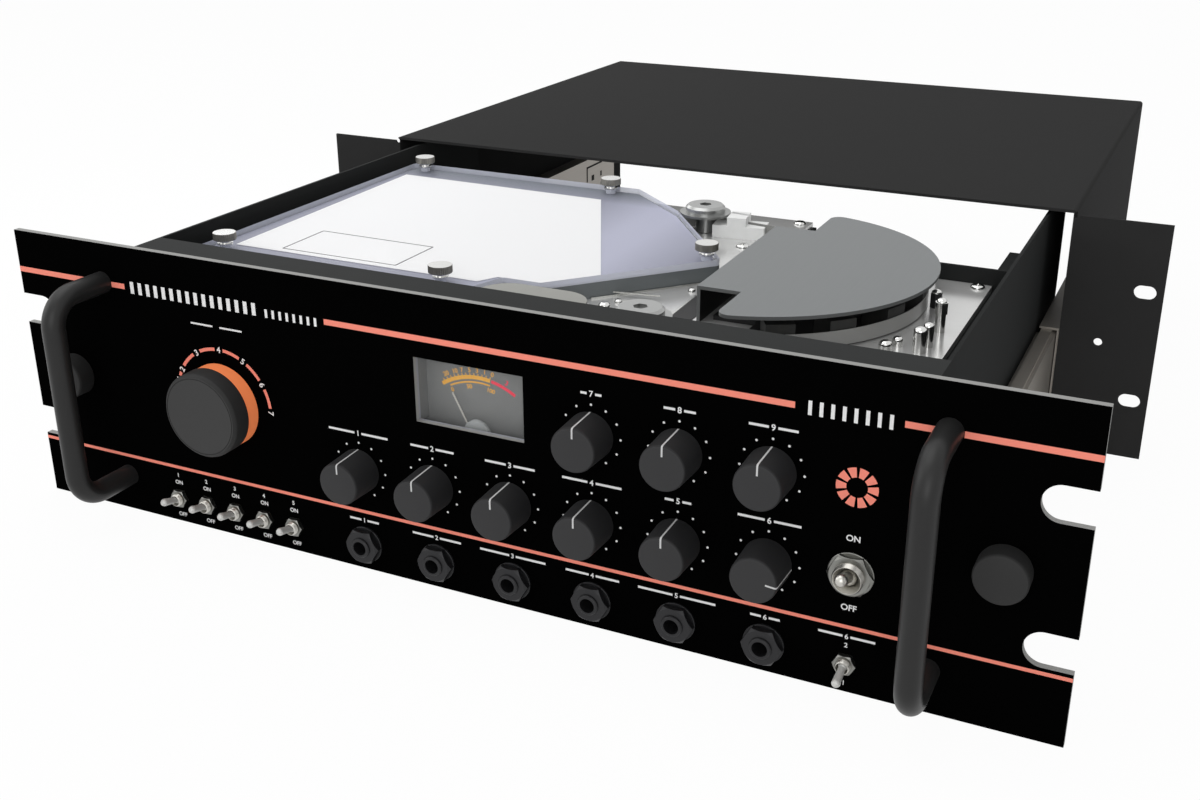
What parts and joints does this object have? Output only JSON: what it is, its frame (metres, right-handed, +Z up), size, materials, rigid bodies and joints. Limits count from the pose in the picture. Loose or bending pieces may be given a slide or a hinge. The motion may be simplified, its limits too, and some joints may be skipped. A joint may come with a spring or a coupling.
{
  "type": "tape echo unit",
  "caption": "Rack-mounted tape echo: a sleeve with rack ears and a sliding drawer that carries the control panel, the tape transport and the electronics.",
  "frame": {"origin": "centre of the four rack slots, on the front face of the sleeve's ears", "axes": "+X to the right seen from the front, +Y to the rear, +Z up"},
  "size_m": [0.4826, 0.5947, 0.1324],
  "materials": {
    "sleeve_paint": "fine satin",
    "drawer_paint": "satin",
    "slide_steel": "zinc plated",
    "panel_black": "satin",
    "grip_black": "satin",
    "thumb_black": "knurled",
    "knob_black": "matte",
    "knob_dark": "matte",
    "control_metal": "plain",
    "switch_nickel": "nickel plated",
    "meter_plastic": "matte",
    "clear_plastic": "clear and polished",
    "needle_grey": "plain",
    "deck_aluminium": "satin",
    "cover_aluminium": "satin",
    "polished_steel": "polished",
    "roller_steel": "turned",
    "tank_grey": "satin",
    "tape_brown": "matte",
    "head_base_black": "satin",
    "head_metal": "brushed",
    "capstan_cover_paint": "satin",
    "white_plastic": "translucent",
    "rubber_black": "matte",
    "pulley_brass": "turned",
    "board_green": "lacquered",
    "transformer_core": "varnished"
  },
  "bodies": {
    "sleeve": {"rack_sleeve": "sleeve_paint", "outer_slides": "slide_steel"},
    "slide_mid": {"middle_slides": "slide_steel"},
    "drawer": {"front_panel": "panel_black", "drawer_tray": "drawer_paint", "inner_slides": "slide_steel", "handle_left": "grip_black", "handle_right": "grip_black", "deck_plate": "deck_aluminium", "deck_screws": "polished_steel", "tape_tank": "tank_grey", "tape_loop": "tape_brown", "head_base": "head_base_black", "erase_head": "head_metal", "record_head": "head_metal", "playback_heads": "head_metal", "guide_posts": "polished_steel", "head_cover": "cover_aluminium", "tank_cover": "clear_plastic", "tank_thumb_screws": "polished_steel", "capstan_cover": "capstan_cover_paint", "tape_sensor": "white_plastic", "capstan_motor": "control_metal", "drive_belt": "rubber_black", "circuit_boards": "board_green", "power_transformer": "transformer_core", "reverb_tank": "slide_steel", "mains_inlet": "meter_plastic", "control_pots": "control_metal", "mode_switch": "control_metal", "toggle_switches": "switch_nickel", "jack_sockets": "switch_nickel", "meter_case": "meter_plastic", "meter_window": "clear_plastic"},
    "input_knob_1": {"input_knob_1": "knob_black"},
    "input_knob_2": {"input_knob_2": "knob_black"},
    "input_knob_3": {"input_knob_3": "knob_black"},
    "mix_knob_1": {"mix_knob_1": "knob_black"},
    "mix_knob_2": {"mix_knob_2": "knob_black"},
    "mix_knob_3": {"mix_knob_3": "knob_black"},
    "tone_knob_1": {"tone_knob_1": "knob_black"},
    "tone_knob_2": {"tone_knob_2": "knob_black"},
    "tone_knob_3": {"tone_knob_3": "knob_black"},
    "mode_knob": {"mode_knob": "knob_dark"},
    "toggle_lever_1": {"toggle_lever_1": "switch_nickel"},
    "toggle_lever_2": {"toggle_lever_2": "switch_nickel"},
    "toggle_lever_3": {"toggle_lever_3": "switch_nickel"},
    "toggle_lever_4": {"toggle_lever_4": "switch_nickel"},
    "toggle_lever_5": {"toggle_lever_5": "switch_nickel"},
    "level_lever": {"level_lever": "switch_nickel"},
    "power_lever": {"power_lever": "switch_nickel"},
    "lock_screw_left": {"lock_screw_left": "thumb_black"},
    "lock_screw_right": {"lock_screw_right": "thumb_black"},
    "meter_needle": {"meter_needle": "needle_grey"},
    "capstan": {"capstan": "roller_steel"},
    "motor_pulley": {"motor_pulley": "pulley_brass"},
    "pinch_arm": {"pinch_arm": "control_metal"},
    "pinch_roller": {"pinch_roller": "rubber_black"},
    "guide_roller_rear": {"guide_roller_rear": "roller_steel"},
    "guide_roller_front": {"guide_roller_front": "roller_steel"}
  },
  "joints": [
    {"name": "drawer_slide", "type": "slide", "parent": "sleeve", "child": "drawer", "axis": [0, -1, 0], "range_m": [-0.2437, 0.006]},
    {"name": "middle_slide", "type": "slide", "parent": "sleeve", "child": "slide_mid", "axis": [0, -1, 0], "range_m": [-0.12195, 0.0031]},
    {"name": "input_knob_1_turn", "type": "hinge", "parent": "drawer", "child": "input_knob_1", "pos_m": [-0.0564, -0.247, -0.01775], "axis": [0, 1, 0], "range_deg": [-150, 150]},
    {"name": "input_knob_2_turn", "type": "hinge", "parent": "drawer", "child": "input_knob_2", "pos_m": [-0.01956, -0.247, -0.01775], "axis": [0, 1, 0], "range_deg": [-150, 150]},
    {"name": "input_knob_3_turn", "type": "hinge", "parent": "drawer", "child": "input_knob_3", "pos_m": [0.01728, -0.247, -0.01775], "axis": [0, 1, 0], "range_deg": [-150, 150]},
    {"name": "mix_knob_1_turn", "type": "hinge", "parent": "drawer", "child": "mix_knob_1", "pos_m": [0.05412, -0.247, -0.01775], "axis": [0, 1, 0], "range_deg": [-150, 150]},
    {"name": "mix_knob_2_turn", "type": "hinge", "parent": "drawer", "child": "mix_knob_2", "pos_m": [0.09096, -0.247, -0.01775], "axis": [0, 1, 0], "range_deg": [-150, 150]},
    {"name": "mix_knob_3_turn", "type": "hinge", "parent": "drawer", "child": "mix_knob_3", "pos_m": [0.1278, -0.247, -0.01775], "axis": [0, 1, 0], "range_deg": [-246, 54]},
    {"name": "tone_knob_1_turn", "type": "hinge", "parent": "drawer", "child": "tone_knob_1", "pos_m": [0.05412, -0.247, 0.02015], "axis": [0, 1, 0], "range_deg": [-150, 150]},
    {"name": "tone_knob_2_turn", "type": "hinge", "parent": "drawer", "child": "tone_knob_2", "pos_m": [0.09096, -0.247, 0.02015], "axis": [0, 1, 0], "range_deg": [-150, 150]},
    {"name": "tone_knob_3_turn", "type": "hinge", "parent": "drawer", "child": "tone_knob_3", "pos_m": [0.1278, -0.247, 0.02015], "axis": [0, 1, 0], "range_deg": [-150, 150]},
    {"name": "mode_knob_turn", "type": "hinge", "parent": "drawer", "child": "mode_knob", "pos_m": [-0.12775, -0.247, 0], "axis": [0, 1, 0], "range_deg": [0, 180]},
    {"name": "toggle_lever_1_flip", "type": "hinge", "parent": "drawer", "child": "toggle_lever_1", "pos_m": [-0.1605, -0.2492, -0.05375], "axis": [1, 0, 0], "range_deg": [0, 30]},
    {"name": "toggle_lever_2_flip", "type": "hinge", "parent": "drawer", "child": "toggle_lever_2", "pos_m": [-0.144, -0.2492, -0.05375], "axis": [1, 0, 0], "range_deg": [0, 30]},
    {"name": "toggle_lever_3_flip", "type": "hinge", "parent": "drawer", "child": "toggle_lever_3", "pos_m": [-0.1275, -0.2492, -0.05375], "axis": [1, 0, 0], "range_deg": [0, 30]},
    {"name": "toggle_lever_4_flip", "type": "hinge", "parent": "drawer", "child": "toggle_lever_4", "pos_m": [-0.111, -0.2492, -0.05375], "axis": [1, 0, 0], "range_deg": [0, 30]},
    {"name": "toggle_lever_5_flip", "type": "hinge", "parent": "drawer", "child": "toggle_lever_5", "pos_m": [-0.0945, -0.2492, -0.05375], "axis": [1, 0, 0], "range_deg": [0, 30]},
    {"name": "level_lever_flip", "type": "hinge", "parent": "drawer", "child": "level_lever", "pos_m": [0.16, -0.2492, -0.05375], "axis": [1, 0, 0], "range_deg": [-30, 0]},
    {"name": "power_lever_flip", "type": "hinge", "parent": "drawer", "child": "power_lever", "pos_m": [0.16, -0.2495, -0.01525], "axis": [1, 0, 0], "range_deg": [0, 44]},
    {"name": "lock_screw_left_turn", "type": "hinge", "parent": "drawer", "child": "lock_screw_left", "pos_m": [-0.214, -0.247, 0], "axis": [0, 1, 0], "continuous": true},
    {"name": "lock_screw_right_turn", "type": "hinge", "parent": "drawer", "child": "lock_screw_right", "pos_m": [0.214, -0.247, 0], "axis": [0, 1, 0], "continuous": true},
    {"name": "needle_swing", "type": "hinge", "parent": "drawer", "child": "meter_needle", "pos_m": [-0.001, -0.24, 0.00025], "axis": [0, 1, 0], "range_deg": [0, 54.4], "stiffness_Nm_per_rad": 0.00002},
    {"name": "capstan_spin", "type": "hinge", "parent": "drawer", "child": "capstan", "pos_m": [0.004, -0.2018, 0.04575], "axis": [0, 0, 1], "continuous": true},
    {"name": "motor_pulley_spin", "type": "hinge", "parent": "drawer", "child": "motor_pulley", "pos_m": [-0.058, -0.151, 0.03425], "axis": [0, 0, 1], "continuous": true},
    {"name": "pinch_arm_swing", "type": "hinge", "parent": "drawer", "child": "pinch_arm", "pos_m": [0.024, -0.22, 0.04575], "axis": [0, 0, 1], "range_deg": [0, 12]},
    {"name": "pinch_roller_spin", "type": "hinge", "parent": "pinch_arm", "child": "pinch_roller", "pos_m": [0.004, -0.212, 0.04575], "axis": [0, 0, 1], "continuous": true},
    {"name": "guide_roller_rear_spin", "type": "hinge", "parent": "drawer", "child": "guide_roller_rear", "pos_m": [0.02057, -0.04623, 0.04575], "axis": [0, 0, 1], "continuous": true},
    {"name": "guide_roller_front_spin", "type": "hinge", "parent": "drawer", "child": "guide_roller_front", "pos_m": [0.05582, -0.20511, 0.04575], "axis": [0, 0, 1], "continuous": true}
  ],
  "couplings": [
    {"joint": "middle_slide", "follows": "drawer_slide", "ratio": 0.5},
    {"joint": "motor_pulley_spin", "follows": "capstan_spin", "ratio": 4},
    {"joint": "pinch_roller_spin", "follows": "capstan_spin", "ratio": -0.3571},
    {"joint": "guide_roller_rear_spin", "follows": "capstan_spin", "ratio": 0.5},
    {"joint": "guide_roller_front_spin", "follows": "capstan_spin", "ratio": 0.5}
  ]
}
